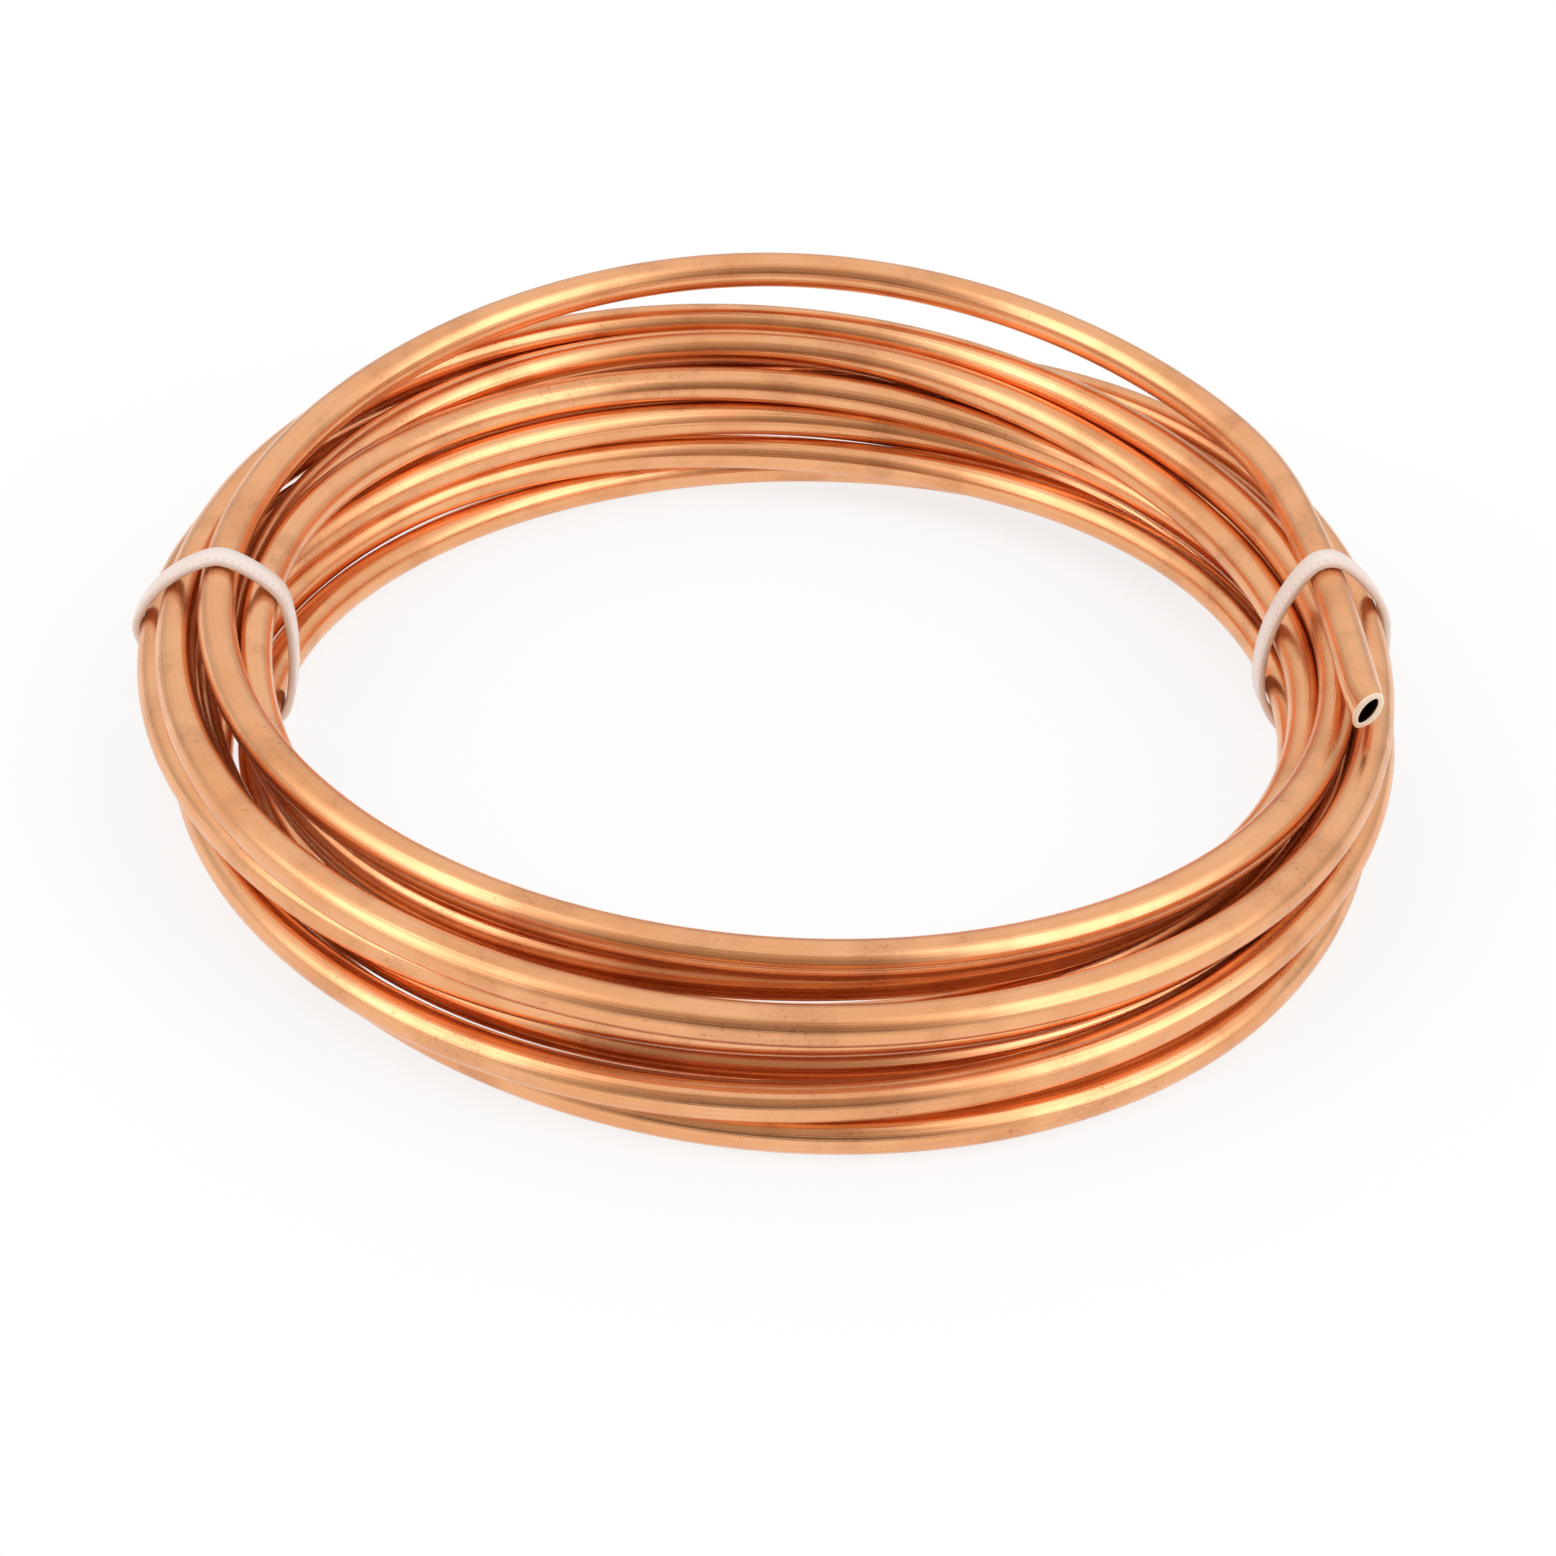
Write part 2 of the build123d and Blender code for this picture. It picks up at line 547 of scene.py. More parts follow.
@dataclass(frozen=True)
class NylonFinish(Finish):
    """Natural nylon: milky, a little see-through, with the shade of the ladder of teeth painted on as small
    darker dashes.
    """

    name: str = "natural_nylon"
    milk: Colour = (1.0, 0.86, 0.79, 1.0)
    cloud: Colour = (0.99, 0.82, 0.74, 1.0)
    # Painted shade: the colour of the darker dashes where the teeth show through the strap.
    tooth: Colour = (0.8, 0.57, 0.47, 1.0)
    tooth_pitch: float = 1.2 * MM
    dash: Span = (0.5, 0.22)
    rail: Span = (0.74, 0.14)
    tooth_shade_tone: float = 0.6
    roughness: Span = (0.3, 0.42)
    transmission: float = 0.12
    glow: float = 0.25
    glow_depth: float = 2.0 * MM
    glow_tint: Triple = (1.0, 0.8, 0.7)
    index: float = 1.53

    def dress(self, graph: Graph, shader: bpy.types.Node) -> None:
        """Sets the milky body and paints the teeth's shade on it as darker dashes."""
        place = graph.node("ShaderNodeTexCoord").outputs["Object"]
        smear, _ = HandlingMarks().place(graph, place)
        strap = graph.node("ShaderNodeSeparateXYZ")
        graph.put(strap.inputs["Vector"], graph.attribute(STRAP))
        phase = graph.math("FRACT", graph.math("DIVIDE", strap.outputs["X"], self.tooth_pitch))
        dash = graph.within(phase, *self.dash)
        band = graph.within(strap.outputs["Y"], *self.rail)
        body = {"Transmission Weight": self.transmission, "IOR": self.index, "Subsurface Weight": self.glow}
        depth = {"Subsurface Radius": self.glow_tint, "Subsurface Scale": self.glow_depth}
        tone = graph.mix(smear, self.milk, self.cloud)
        # Painted shade of the teeth: darker dashes on the strap's outer face, near its front edge.
        teeth = graph.times(dash, band, strap.outputs["Z"], self.tooth_shade_tone)
        tone = graph.mix(teeth, tone, self.tooth)
        rough = graph.ramp(smear, 0.0, 1.0, *self.roughness)
        graph.feed(shader, {"Base Color": tone, "Roughness": rough, **body, **depth})


@dataclass
class TubeLay:
    """How the tube lies in the coil, from its loose end on top to its first end low in the coil.

    Each line of the lay is one turn, with its places at the right, the back right, the back,
    the back left, the left, the front left, the front and the front right. A place is columns
    out from the mean radius and rows up from the floor, in pitches.
    """

    outside: float = 6.0 * MM
    wall: float = 1.0 * MM
    mean_radius: float = 88.0 * MM
    pitch: float = 6.4 * MM
    spacing: float = 6.12 * MM
    floor_gap: float = 0.05 * MM
    end_radius: float = 89.246 * MM
    end_height: float = 30.44 * MM
    end_angle: float = 5.0
    end_run: float = 28.0 * MM
    end_blend: float = 30.0
    strap_room: float = 1.5 * MM
    strap_spread: float = 30.0
    tie_angles: tuple[float, float] = (11.0, 180.0)
    side_limit: float = 97.1 * MM
    corner_limit: float = 99.5 * MM
    steps_per_turn: int = 48
    settling_rounds: int = 300
    stiffness: float = 5.0
    reach: int = 15
    fine_steps: int = 8
    end_points: int = 40
    step_margin: float = 1e-6
    lay: tuple[tuple[tuple[float, float], ...], ...] = (
        ((0.20, 4.29), (1.12, 4.78), (1.45, 5.26), (0.54, 4.52),
         (-0.08, 3.73), (-0.50, 3.46), (-0.73, 3.33), (-0.34, 3.20)),
        ((0.17, 3.22), (0.36, 3.44), (1.28, 3.56), (1.34, 3.38),
         (0.92, 3.04), (1.20, 3.10), (1.44, 3.17), (1.30, 3.12)),
        ((1.12, 3.10), (1.70, 3.38), (1.42, 2.62), (1.43, 2.43),
         (1.43, 2.24), (0.95, 2.15), (0.57, 2.20), (0.60, 2.20)),
        ((0.42, 2.33), (0.95, 2.53), (0.46, 2.10), (0.60, 1.76),
         (0.46, 2.06), (0.40, 1.19), (0.30, 1.04), (0.46, 1.10)),
        ((0.45, 1.17), (0.40, 1.84), (-0.66, 2.78), (-0.52, 2.74),
         (-0.88, 3.09), (-0.65, 2.45), (-1.10, 2.38), (-0.85, 2.28)),
        ((-0.44, 2.44), (-0.38, 2.66), (0.25, 3.10), (0.42, 2.72),
         (-0.48, 2.06), (-1.10, 1.62), (-0.95, 1.34), (-0.90, 1.42)),
        ((-0.34, 1.22), (-0.20, 1.18), (-0.90, 1.02), (-0.84, 0.98),
         (-0.22, 0.28), (0.33, 0.03), (1.19, 0.00), (1.29, 0.05)),
        ((0.78, 0.34), (1.20, 0.02), (-0.36, 0.03), (-1.04, 0.00),
         (-0.86, 0.28), (-0.68, 0.50), (-0.45, 0.45), (-0.10, 0.30)),
        ((-0.05, 0.28), (0.80, 0.82), (-0.85, 1.88), (-0.92, 1.88),
         (0.28, 1.12), (0.93, 0.89), (1.32, 1.03), (1.10, 1.33)),
        ((1.14, 1.72), (1.40, 1.45), (1.38, 1.28)),
    )
    steps: np.ndarray = field(init=False)
    places: np.ndarray = field(init=False)

    def __post_init__(self) -> None:
        """Lays the tube and lets its turns settle."""
        stations = np.array([place for turn in self.lay for place in turn])
        per_turn = len(self.lay[0])
        self.steps = np.arange((len(stations) - 1) * self.steps_per_turn // per_turn + 1)
        lay = natural_cubic(stations, self.steps * per_turn / self.steps_per_turn)
        turns = lay * self.pitch + np.array([self.mean_radius, self.outside / 2])
        self.places = self.settle(self.with_loose_end(self.angles(self.steps), turns))

    def angles(self, steps: np.ndarray) -> np.ndarray:
        """Degrees round the coil at given steps."""
        return steps * (360.0 / self.steps_per_turn)

    def with_loose_end(self, angles: np.ndarray, turns: np.ndarray) -> np.ndarray:
        """Draws the start of the tube onto its straight end.

        The end is a straight line, so its radius is the nearest radius divided by the cosine
        of the angle from where it is nearest. Past that angle it eases into the lay.

        Args:
            angles: Degrees round the coil.
            turns: Radius and height at each angle.

        Returns:
            Radius and height with the end in place.
        """
        away = np.radians(np.minimum(angles - self.end_angle, 0.0))
        line = np.stack([self.end_radius / np.cos(away), np.full_like(away, self.end_height)], axis=1)
        share = smooth_step((angles - self.end_angle) / self.end_blend)[:, None]
        return line + (turns - line) * share

    def settle(self, turns: np.ndarray) -> np.ndarray:
        """Pushes the turns apart.

        Turns that come closer than the spacing move away from each other, no turn sinks into
        the floor or a strap or strays out of the coil, and stiffness spreads each move along
        the tube as a bell curve.

        Args:
            turns: Radius and height at each step.

        Returns:
            The settled radius and height at each step.
        """
        angles = self.angles(self.steps)
        floor = self.outside / 2 + self.floor_gap + self.strap_lift(angles)
        limit = self.outer_limit(angles)
        free = smooth_step((angles - self.end_angle) / self.end_blend)[:, None]
        bell = bell_curve(np.arange(-self.reach, self.reach + 1), self.stiffness)
        for _ in range(self.settling_rounds):
            push = np.zeros_like(turns)
            for lag in range(self.steps_per_turn, len(turns), self.steps_per_turn):
                apart = turns[lag:] - turns[:-lag]
                distance = np.linalg.norm(apart, axis=1, keepdims=True)
                half_move = apart / distance * np.clip(self.spacing - distance, 0.0, None) / 2
                push[lag:] += half_move
                push[:-lag] -= half_move
            push[:, 1] += np.clip(floor - turns[:, 1], 0.0, None)
            push[:, 0] -= np.clip(turns[:, 0] - limit, 0.0, None)
            padded = np.pad(push, ((self.reach, self.reach), (0, 0)), mode="edge")
            spread = np.stack([np.convolve(padded[:, axis], bell, "valid") for axis in (0, 1)], axis=1)
            turns = turns + spread * free
        return turns

    def strap_lift(self, angles: np.ndarray) -> np.ndarray:
        """How much the straps that pass under the coil lift it: a cosine hump at each tie.

        Args:
            angles: Degrees round the coil.

        Returns:
            The lift at each angle.
        """
        lift = np.zeros_like(angles)
        for tie_angle in self.tie_angles:
            away = np.abs((angles - tie_angle + 180.0) % 360.0 - 180.0) / self.strap_spread
            lift = np.maximum(lift, self.strap_room * np.cos(np.clip(away, 0.0, 1.0) * math.pi / 2) ** 2)
        return lift

    def outer_limit(self, angles: np.ndarray) -> np.ndarray:
        """How far out the tube's axis may lie: inside a square whose corners are cut by a circle.

        Args:
            angles: Degrees round the coil.

        Returns:
            The greatest radius at each angle.
        """
        turned = np.radians(angles)
        square = self.side_limit / np.maximum(np.abs(np.cos(turned)), np.abs(np.sin(turned)))
        return np.minimum(square, self.corner_limit)

    def centre_line(self, rings: int) -> np.ndarray:
        """Points along the tube's axis at even steps, from the loose end's tip.

        The straight end comes first, and then the settled turns as a smooth curve.

        Args:
            rings: How many points to make.

        Returns:
            One point in each row.
        """
        start_step = self.end_angle / 360.0 * self.steps_per_turn
        fine = np.linspace(start_step, self.steps[-1], self.fine_steps * len(self.steps))
        places = natural_cubic(self.places, fine)
        turned = np.radians(self.angles(fine))
        radius, height = places.T
        curve = np.stack([radius * np.cos(turned), radius * np.sin(turned), height], axis=1)
        start = math.radians(self.end_angle)
        way = np.array([-math.sin(start), math.cos(start), 0.0])
        back = np.linspace(self.end_run, 0.0, self.end_points, endpoint=False)[:, None]
        line = np.concatenate([curve[0] - way * back, curve])
        gone = gone_along(line)
        return at_distances(line, gone, np.linspace(0.0, gone[-1], rings))

    def section(self, angle: float) -> np.ndarray:
        """Radius and height of every turn where it crosses an upright plane through the axis.

        Args:
            angle: Degrees round the coil.

        Returns:
            One row for each turn.
        """
        first = angle / 360.0 * self.steps_per_turn
        crossings = np.arange(first, self.steps[-1] + self.step_margin, self.steps_per_turn)
        return natural_cubic(self.places, crossings)


@dataclass
class CopperTube:
    """The one length of tube: a round skin carried along the lay, with an open end at each end."""

    lay: TubeLay
    name: str = "coiled_copper_tube"
    node: str = "copper_tube"
    sides: int = 28
    rings: int = 2200
    bore_depth: float = 60.0 * MM
    bore_rings: int = 24
    edge: float = 0.15 * MM
    edge_bulge: float = 0.3
    edges_to_bore: float = 3.0
    edges_to_outside: float = 2.0
    pinch_run: float = 7.0 * MM
    pinch_long: float = 3.5 * MM
    pinch_short: float = 1.95 * MM
    pinch_lean: float = 65.0
    pinch_point: float = 0.18

    def profile(self, length: float) -> tuple[np.ndarray, np.ndarray, np.ndarray]:
        """The skin's rings in order, from the bottom of one bore over the outside to the other.

        Each end goes up the bore, over a cut rim with rounded edges, and on along the outside.

        Args:
            length: The tube's length.

        Returns:
            The distance along the tube, the share from bore to outside, and the kind of face
            that follows each ring.
        """
        bore = np.linspace(self.bore_depth, self.edges_to_bore * self.edge, self.bore_rings)
        bulge = self.edge_bulge * self.edge
        rim_along = np.array([self.edge, bulge, 0.0, 0.0, bulge, self.edge])
        edge_share = self.edge / self.lay.wall
        inner_edge = np.array([0.0, self.edge_bulge * edge_share, edge_share])
        rim_share = np.concatenate([inner_edge, 1.0 - inner_edge[::-1]])
        first_along = np.concatenate([bore, rim_along])
        first_share = np.concatenate([np.zeros_like(bore), rim_share])
        start = self.edges_to_outside * self.edge
        outside = np.linspace(start, length - start, self.rings)
        along = np.concatenate([first_along, outside, length - first_along[::-1]])
        share = np.concatenate([first_share, np.ones_like(outside), first_share[::-1]])
        bore_faces = np.full(len(bore), TubeFace.BORE.value)
        cut_faces = np.full(len(rim_along), TubeFace.CUT.value)
        outside_faces = np.full(len(outside), TubeFace.OUTSIDE.value)
        kinds = np.concatenate([bore_faces, cut_faces, outside_faces, cut_faces, bore_faces])
        return along, share, kinds

    def section(
        self, around: np.ndarray, along: np.ndarray, share: np.ndarray
    ) -> tuple[np.ndarray, np.ndarray]:
        """The skin's outline across the tube at each ring.

        Away from the loose end it is a circle. Towards the tip it eases into a pinched lens,
        whose long axis leans over: along that axis it goes as the cosine of the angle, across
        it as the sine with its ends drawn to a point. The bore lies one wall inside.

        Args:
            around: Angles round the tube.
            along: Distances along the tube, one for each ring.
            share: The share from bore to outside, one for each ring.

        Returns:
            How far out and how far up each point lies from the tube's axis.
        """
        lean = math.radians(self.pinch_lean)
        turned = around[None, :] - lean
        inset = ((1.0 - share) * self.lay.wall)[:, None]
        radius = self.lay.outside / 2 - inset
        squeeze = smooth_step(1.0 - along / self.pinch_run)[:, None]
        cosine, sine = np.cos(turned), np.sin(turned)
        pointed = sine * np.abs(sine) ** self.pinch_point
        round_share = 1.0 - squeeze
        long_axis = radius * cosine * round_share + (self.pinch_long - inset) * cosine * squeeze
        short_axis = radius * sine * round_share + (self.pinch_short - inset) * pointed * squeeze
        out = long_axis * math.cos(lean) - short_axis * math.sin(lean)
        up = long_axis * math.sin(lean) + short_axis * math.cos(lean)
        return out, up

    def build(self) -> None:
        """Carries the skin along the centre line and dresses it.

        At each ring the tube's way is the centre line's direction, out is the radial direction
        squared to it, and up is square to both. A point is the axis plus its shares of the two.
        """
        axis = self.lay.centre_line(self.rings)
        gone = gone_along(axis)
        length = float(gone[-1])
        along, share, kinds = self.profile(length)
        way = np.gradient(axis, axis=0)
        way /= np.linalg.norm(way, axis=1, keepdims=True)
        centre = at_distances(axis, gone, along)
        ahead = at_distances(way, gone, along)
        ahead /= np.linalg.norm(ahead, axis=1, keepdims=True)
        radial = centre * np.array([1.0, 1.0, 0.0])
        radial -= ahead * np.sum(radial * ahead, axis=1, keepdims=True)
        radial /= np.linalg.norm(radial, axis=1, keepdims=True)
        upwards = np.cross(radial, ahead)
        around = np.arange(self.sides) * (2.0 * math.pi / self.sides)
        out, up = self.section(around, along, share)
        outwards = out[..., None] * radial[:, None, :]
        points = centre[:, None, :] + outwards + up[..., None] * upwards[:, None, :]
        faces = grid_faces(len(along), self.sides)[:, ::-1].tolist()
        last = (len(along) - 1) * self.sides
        faces.append(list(range(self.sides)))
        faces.append(list(range(last, last + self.sides))[::-1])
        piece = make_piece(self.name, points.reshape(-1, 3), faces)
        of_faces = np.append(np.repeat(kinds[:-1], self.sides), [TubeFace.BORE.value] * 2)
        piece.data.polygons.foreach_set("material_index", of_faces.astype(np.int32))
        grain = np.broadcast_arrays(np.cos(around), np.sin(around), along[:, None])
        grain = np.stack(grain, axis=-1)
        add_attribute(piece, DRAWN, grain.reshape(-1, 3))
        for finish in (CopperFinish(), CutFinish(), BoreFinish()):
            piece.data.materials.append(finish.make())
        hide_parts(self.node)
        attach(piece, BODY)
        LOG.info("%s: %.3f m of tube, %d faces", self.name, length, len(faces))


@dataclass
class CableTie:
    """One nylon tie: a toothed strap drawn round the turns, its head and its cut tail."""

    lay: TubeLay
    side: Side
    angle: float
    name: str
    strap_width: float = 4.0 * MM
    strap_thickness: float = 1.3 * MM
    clearance: float = 0.2 * MM
    looseness: float = 9.0
    regrowth: float = 0.6
    directions: int = 1440
    strap_edge: float = 0.25 * MM
    strap_rail: float = 0.5 * MM
    tooth_pitch: float = 1.2 * MM
    tooth_depth: float = 0.25 * MM
    steps_per_tooth: int = 6
    least_corner: float = 0.1
    head_depth: float = 3.6 * MM
    head_reach: float = 101.8 * MM
    head_length: float = 5.4 * MM
    head_width: float = 5.4 * MM
    head_lift: float = 0.3 * MM
    tail_stub: float = 1.2 * MM
    tail_rounding: float = 0.2 * MM
    rounding: float = 0.6 * MM
    corner_points: int = 4

    def loop(self) -> np.ndarray:
        """The middle line of the strap in the tie's own upright plane.

        For every direction, the reach is the furthest that any turn goes that way, plus half
        the tube, the clearance and half the strap. Nylon is springy, so the reach is smoothed
        by a bell curve over directions and then grown by a share of the most that it lost. The
        loop is the curve that the reaches wrap: reach times the direction, plus the change of
        reach times the direction's quarter turn. It lies flat where it meets the floor.

        Returns:
            Radius and height of the closed loop, one row for each even step along it.
        """
        held = self.lay.section(self.angle)
        middle = (held.min(axis=0) + held.max(axis=0)) / 2
        count = self.directions
        turned = np.arange(count) * (2.0 * math.pi / count)
        ways = np.stack([np.cos(turned), np.sin(turned)], axis=1)
        margin = self.lay.outside / 2 + self.clearance + self.strap_thickness / 2
        reach = ((held - middle) @ ways.T).max(axis=0) + margin
        width = self.looseness / 360.0 * count
        offsets = np.minimum(np.arange(count), count - np.arange(count))
        bell = bell_curve(offsets, width)
        eased = np.fft.irfft(np.fft.rfft(reach) * np.fft.rfft(bell), count)
        eased += max(0.0, float((reach - eased).max())) * self.regrowth
        slope = (np.roll(eased, -1) - np.roll(eased, 1)) / (2.0 * turned[1])
        across = np.stack([-np.sin(turned), np.cos(turned)], axis=1)
        loop = middle + eased[:, None] * ways + slope[:, None] * across
        loop[:, 1] = np.maximum(loop[:, 1], self.strap_thickness / 2)
        closed = np.concatenate([loop, loop[:1]])
        gone = gone_along(closed)
        steps = int(round(gone[-1] / self.tooth_pitch)) * self.steps_per_tooth
        return at_distances(closed, gone, np.arange(steps) * (gone[-1] / steps))

    def strap(self, loop: np.ndarray) -> tuple[np.ndarray, list[list[int]], np.ndarray]:
        """The strap as a flat section carried round the loop, with teeth on its inner face.

        The section is a rounded rectangle. Inside its two rails the inner face rises and falls
        once for each tooth, steep on one side as a saw's.

        Args:
            loop: Radius and height of the strap's middle line.

        Returns:
            The points, the faces and the strap coordinates of the points.
        """
        steps = len(loop)
        ahead = np.roll(loop, -1, axis=0) - np.roll(loop, 1, axis=0)
        ahead /= np.linalg.norm(ahead, axis=1, keepdims=True)
        outwards = np.stack([ahead[:, 1], -ahead[:, 0]], axis=1)
        half_width = self.strap_width / 2
        half_thick = self.strap_thickness / 2
        edge = self.strap_edge
        rail = half_width - self.strap_rail
        flat_half = half_width - edge
        side_half = half_thick - edge
        wide = np.array([-half_width, -flat_half, flat_half, half_width, half_width, flat_half,
                         rail, rail - edge, edge - rail, -rail, -flat_half, -half_width])
        thick = np.array([side_half, half_thick, half_thick, side_half, -side_half, -half_thick,
                          -half_thick, -half_thick, -half_thick, -half_thick, -half_thick, -side_half])
        toothed = np.array([0, 0, 0, 0, 0, 0, 0, 1, 1, 0, 0, 0], dtype=float)
        phase = (np.arange(steps) % self.steps_per_tooth) / self.steps_per_tooth
        depth = thick[None, :] + toothed[None, :] * (self.tooth_depth * phase)[:, None]
        flat = loop[:, None, :] + depth[..., None] * outwards[:, None, :]
        points = self.to_world(flat.reshape(-1, 2), np.tile(wide, steps))
        columns = len(wide)
        faces = grid_faces(steps, columns, closed=True).tolist()
        along = np.repeat(np.arange(steps) / self.steps_per_tooth * self.tooth_pitch, columns)
        outer = np.tile((thick > 0.0).astype(float), steps)
        marks = np.stack([along, np.tile(-wide / half_width, steps) * self.front_sign(), outer], axis=1)
        return points, faces, marks

    def front_sign(self) -> float:
        """Which way across the strap faces the front of the coil."""
        return 1.0 if self.side is Side.RIGHT else -1.0

    def to_world(self, flat: np.ndarray, across: np.ndarray) -> np.ndarray:
        """Places points of the tie's upright plane in the frame.

        Args:
            flat: Radius and height of each point.
            across: How far each point lies to the plane's side, along the tube.

        Returns:
            One point in each row.
        """
        turned = math.radians(self.angle)
        radial = np.array([math.cos(turned), math.sin(turned), 0.0])
        sideways = np.array([-math.sin(turned), math.cos(turned), 0.0])
        return flat[:, :1] * radial + across[:, None] * sideways + flat[:, 1:] * np.array([0.0, 0.0, 1.0])

    def block(
        self, low: Span, high: Span, width: float, edge: float
    ) -> tuple[np.ndarray, list[list[int]]]:
        """A block with rounded edges, as a rounded rectangle carried upwards.

        The rectangle's corners are quarter circles, and near the two ends it draws in along a
        quarter circle as well.

        Args:
            low: The lowest radius and height.
            high: The highest radius and height.
            width: The size along the tube.
            edge: The rounding of the edges.

        Returns:
            The points and the faces.
        """
        each = self.corner_points
        bend = np.linspace(0.0, math.pi / 2, each)
        rise = edge * (1.0 - np.cos(bend))
        heights = np.concatenate([low[1] + rise, high[1] - rise[::-1]])
        drawn_in = edge * (1.0 - np.sin(bend))
        inset = np.concatenate([drawn_in, drawn_in[::-1]])
        quarters = np.arange(4) * (math.pi / 2)
        corner = quarters.repeat(each) + np.tile(bend, len(quarters))
        sign_out = np.sign(np.cos(quarters + math.pi / 4)).repeat(each)
        sign_side = np.sign(np.sin(quarters + math.pi / 4)).repeat(each)
        half_out = (high[0] - low[0]) / 2 - edge
        half_side = width / 2 - edge
        round_edge = np.maximum(edge - inset, self.least_corner * edge)[:, None]
        out = (low[0] + high[0]) / 2 + sign_out * half_out + round_edge * np.cos(corner)
        side = sign_side * half_side + round_edge * np.sin(corner)
        flat = np.stack([out, np.broadcast_to(heights[:, None], out.shape)], axis=-1).reshape(-1, 2)
        points = self.to_world(flat, side.ravel())
        rows, columns = out.shape
        faces = grid_faces(rows, columns).tolist()
        faces.append(list(range(columns))[::-1])
        faces.append(list(range((rows - 1) * columns, rows * columns)))
        return points, faces

    def build(self) -> None:
        """Builds the strap, the head and the cut tail as one piece and dresses it."""
        loop = self.loop()
        points, faces, marks = self.strap(loop)
        top = self.head_lift + self.head_length
        half = self.strap_thickness / 2
        low = loop[(loop[:, 1] < top) & (loop[:, 0] > loop[:, 0].mean())]
        inner = min(float(low[:, 0].max()) - half, self.head_reach - self.head_depth)
        low_corner, high_corner = (inner, self.head_lift), (inner + self.head_depth, top)
        head = self.block(low_corner, high_corner, self.head_width, self.rounding)
        middle = inner + self.head_depth / 2
        stub = self.tail_stub
        low_corner, high_corner = (middle - half, top - stub), (middle + half, top + stub)
        tail = self.block(low_corner, high_corner, self.strap_width, self.tail_rounding)
        for block_points, block_faces in (head, tail):
            faces += [[index + len(points) for index in face] for face in block_faces]
            points = np.concatenate([points, block_points])
            marks = np.concatenate([marks, np.zeros((len(block_points), 3))])
        piece = make_piece(self.name, points, faces)
        add_attribute(piece, STRAP, marks)
        piece.data.materials.append(self.finish())
        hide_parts(self.side.value)
        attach(piece, BODY)
        LOG.info("%s: %d faces", self.name, len(faces))

    def finish(self) -> bpy.types.Material:
        """The nylon that both ties share."""
        return bpy.data.materials.get(NylonFinish().name) or NylonFinish().make()


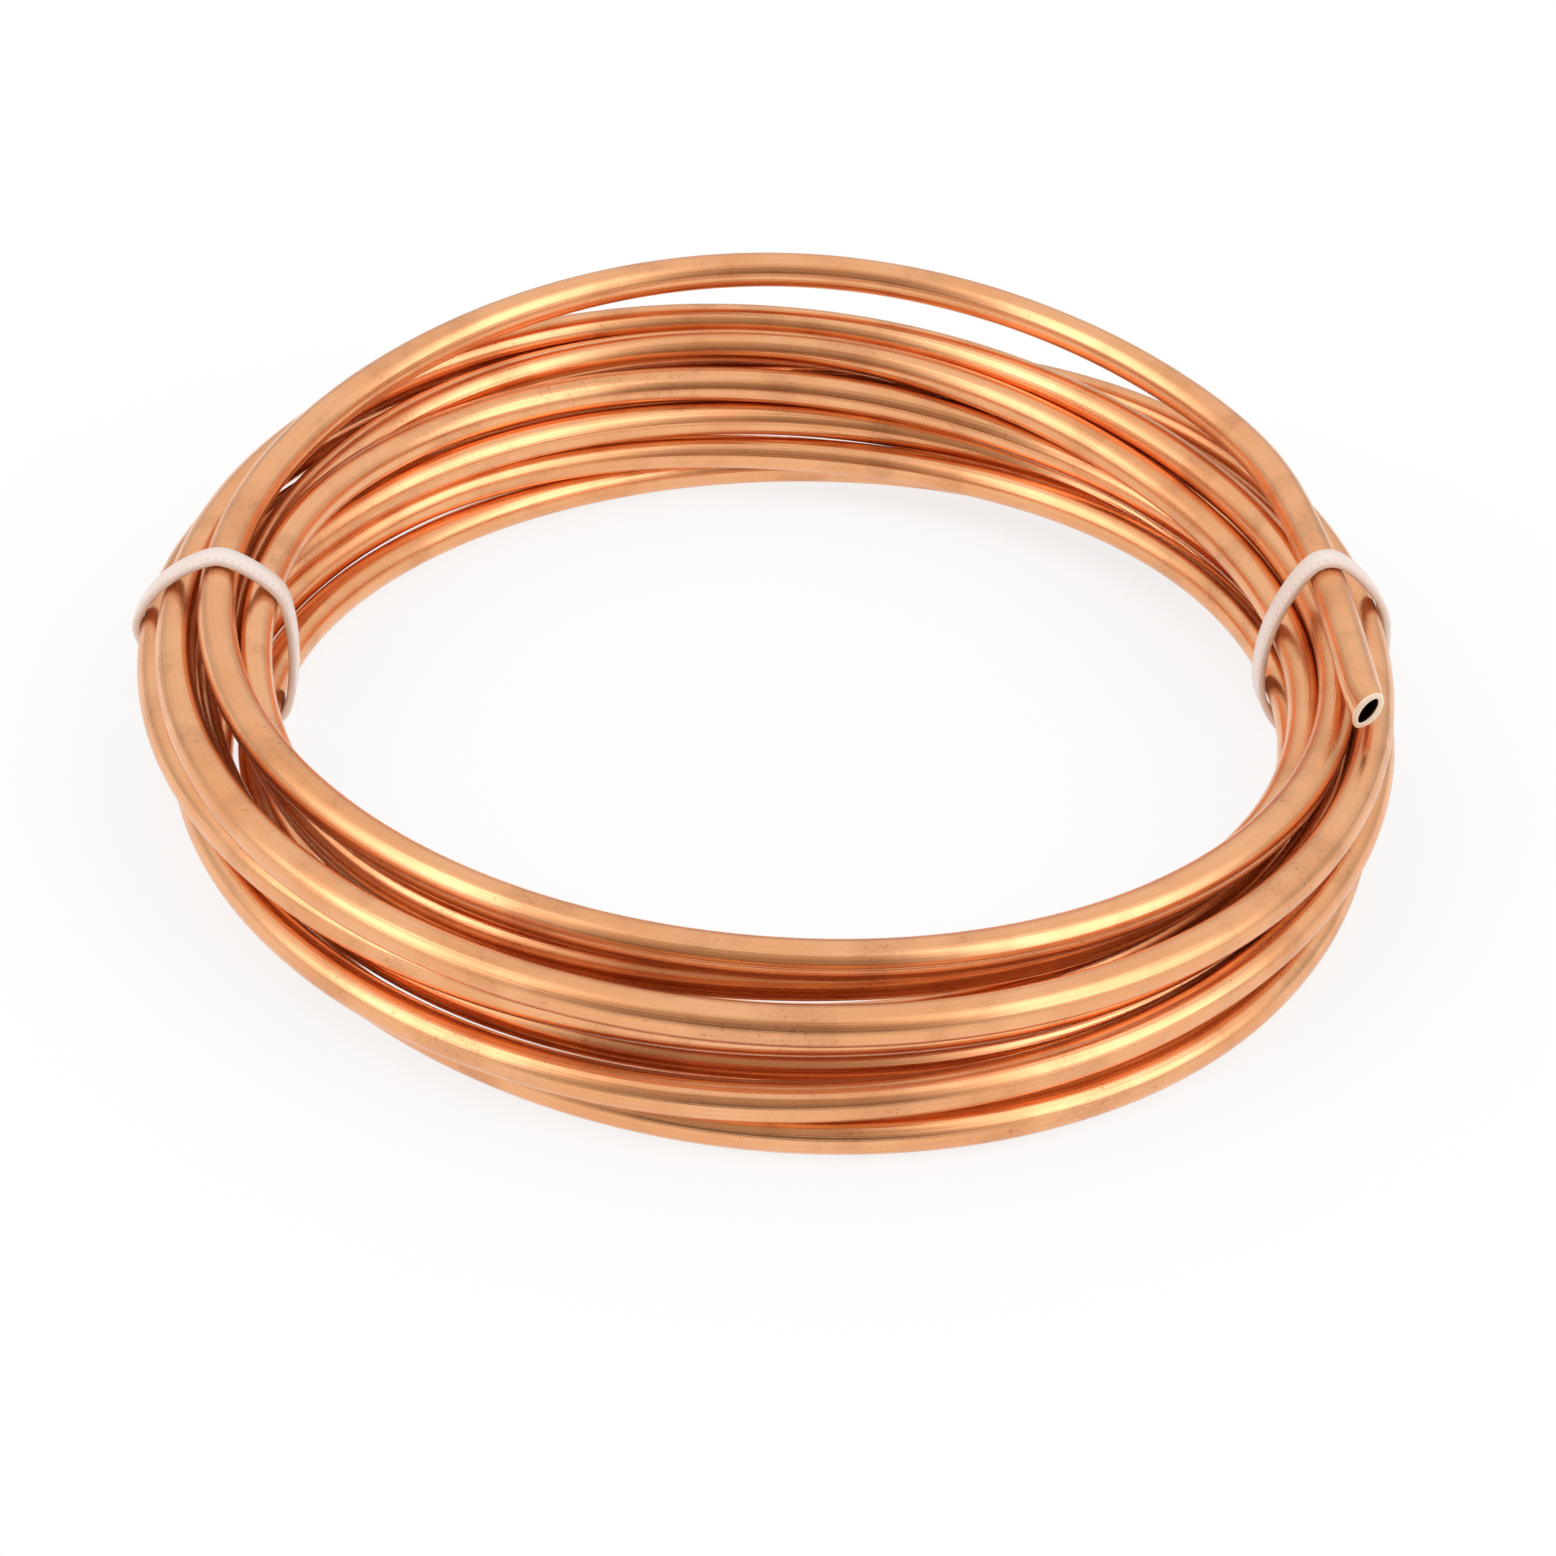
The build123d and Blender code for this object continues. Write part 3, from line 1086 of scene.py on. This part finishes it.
@dataclass
class Studio:
    """The floor, the soft light round the coil and the camera at the photograph's angle."""

    frame_pixels: float = 1556.0
    focal_pixels: float = 3880.0
    sensor: float = 36.0
    distance: float = 0.62
    elevation: float = 34.3
    roll: float = 4.0
    target: Triple = (0.0, 0.0, 12.0 * MM)
    target_pixel: Span = (770.0, 695.0)
    near_clip: float = 10.0 * MM
    floor_size: float = 3.0
    floor_tone: Colour = (0.94, 0.94, 0.94, 1.0)
    floor_glow: float = 0.8
    low_level: float = 0.55
    even_level: float = 0.92
    box_level: float = 1.4
    gap_level: float = 0.45
    even_rise: Span = (0.0, 0.55)
    box_start: Span = (0.6, 0.95)
    box_end: Span = (1.35, 1.8)
    box_foot: Span = (0.08, 0.3)
    box_top: Span = (0.82, 0.95)
    gap_end: Span = (0.35, 0.8)
    gap_top: Span = (0.7, 0.92)
    white: Colour = (1.0, 1.0, 1.0, 1.0)
    warm_gap: Colour = (1.0, 0.8, 0.64, 1.0)

    def camera(self) -> None:
        """Sets the camera so that the target falls on its pixel."""
        rise = math.radians(self.elevation)
        back = np.array([0.0, -math.cos(rise), math.sin(rise)])
        place = np.array(self.target) + back * self.distance
        right = np.array([1.0, 0.0, 0.0])
        up = np.cross(back, right)
        lean = math.radians(self.roll)
        cosine, sine = math.cos(lean), math.sin(lean)
        right, up = right * cosine + up * sine, up * cosine - right * sine
        middle = self.frame_pixels / 2
        across, down = self.target_pixel
        aim = -back * self.focal_pixels + right * (middle - across) - up * (middle - down)
        back = -aim / np.linalg.norm(aim)
        right = np.cross(up, back)
        right /= np.linalg.norm(right)
        up = np.cross(back, right)
        data = bpy.data.cameras.new("photo_camera")
        data.sensor_width = self.sensor
        data.lens = self.focal_pixels / self.frame_pixels * self.sensor
        data.clip_start = self.near_clip
        made = bpy.data.objects.new("photo_camera", data)
        bpy.context.scene.collection.objects.link(made)
        turned = np.column_stack([right, up, back, place])
        made.matrix_world = Matrix(np.vstack([turned, [0.0, 0.0, 0.0, 1.0]]).tolist())
        bpy.context.scene.camera = made

    def floor(self) -> None:
        """Lays a plain pale floor, which the camera sees as partly aglow so that its shadows stay faint."""
        half = self.floor_size
        corners = np.array([[-half, -half, 0.0], [half, -half, 0.0], [half, half, 0.0], [-half, half, 0.0]])
        made = make_piece("floor", corners, [[0, 1, 2, 3]], smooth=False)
        material, graph = start_material("pale_floor")
        matt = graph.node("ShaderNodeBsdfDiffuse")
        matt.inputs["Color"].default_value = self.floor_tone
        glow = graph.node("ShaderNodeEmission")
        path = graph.node("ShaderNodeLightPath")
        mixed = graph.node("ShaderNodeMixShader")
        seen = graph.math("MAXIMUM", path.outputs["Is Camera Ray"], path.outputs["Is Glossy Ray"])
        seen = graph.math("MAXIMUM", seen, path.outputs["Is Transmission Ray"])
        graph.put(mixed.inputs["Fac"], graph.times(seen, self.floor_glow))
        graph.put(mixed.inputs[1], matt.outputs["BSDF"])
        graph.put(mixed.inputs[2], glow.outputs["Emission"])
        graph.surface(mixed.outputs["Shader"])
        made.data.materials.append(material)

    def light(self) -> None:
        """Surrounds the coil with a soft white studio.

        The camera sees plain white. The light comes from every side, a little below strength 1
        and less near the horizon, with a brighter soft box at the front left and the front right
        and a dim, warm gap between them, where the camera stands. Azimuths are in radians from
        the front, and heights are those of the unit direction.
        """
        world = bpy.data.worlds.new("soft_studio")
        bpy.context.scene.world = world
        world.use_nodes = True
        graph = Graph(world.node_tree)
        way = graph.node("ShaderNodeTexCoord").outputs["Generated"]
        split = graph.node("ShaderNodeSeparateXYZ")
        graph.put(split.inputs["Vector"], way)
        height = split.outputs["Z"]
        azimuth = graph.math("ARCTAN2", split.outputs["X"], graph.times(split.outputs["Y"], -1.0))
        aside = graph.math("ABSOLUTE", azimuth)
        box = graph.times(
            graph.ramp(aside, *self.box_start), graph.fall(aside, *self.box_end),
            graph.ramp(height, *self.box_foot), graph.fall(height, *self.box_top),
        )
        gap = graph.times(graph.fall(aside, *self.gap_end), graph.fall(height, *self.gap_top))
        even = graph.ramp(height, *self.even_rise, self.low_level, self.even_level)
        level = graph.math("ADD", even, graph.times(box, self.box_level))
        level = graph.math("SUBTRACT", level, graph.times(gap, self.gap_level))
        path = graph.node("ShaderNodeLightPath")
        seen = graph.node("ShaderNodeMix", data_type="FLOAT")
        graph.feed(seen, {"Factor": path.outputs["Is Camera Ray"], "A": level, "B": 1.0})
        background = graph.node("ShaderNodeBackground")
        tint = graph.times(gap, graph.math("SUBTRACT", 1.0, path.outputs["Is Camera Ray"]))
        tone = graph.mix(tint, self.white, self.warm_gap)
        graph.feed(background, {"Color": tone, "Strength": seen.outputs["Result"]})
        graph.put(graph.node("ShaderNodeOutputWorld").inputs["Surface"], background.outputs["Background"])

    def build(self) -> None:
        """Sets the camera, the floor and the light, and plain view settings."""
        self.camera()
        self.floor()
        self.light()
        bpy.context.scene.view_settings.view_transform = "Standard"
        LOG.info("studio: camera, floor and light")


def main() -> None:
    """Builds the tube, the ties and the studio in order."""
    logging.basicConfig(level=logging.INFO, format="%(name)s: %(message)s")
    lay = TubeLay()
    CopperTube(lay).build()
    CableTie(lay, Side.RIGHT, lay.tie_angles[0], "right_cable_tie").build()
    CableTie(lay, Side.LEFT, lay.tie_angles[1], "left_cable_tie").build()
    Studio().build()


if __name__ == "__main__":
    main()
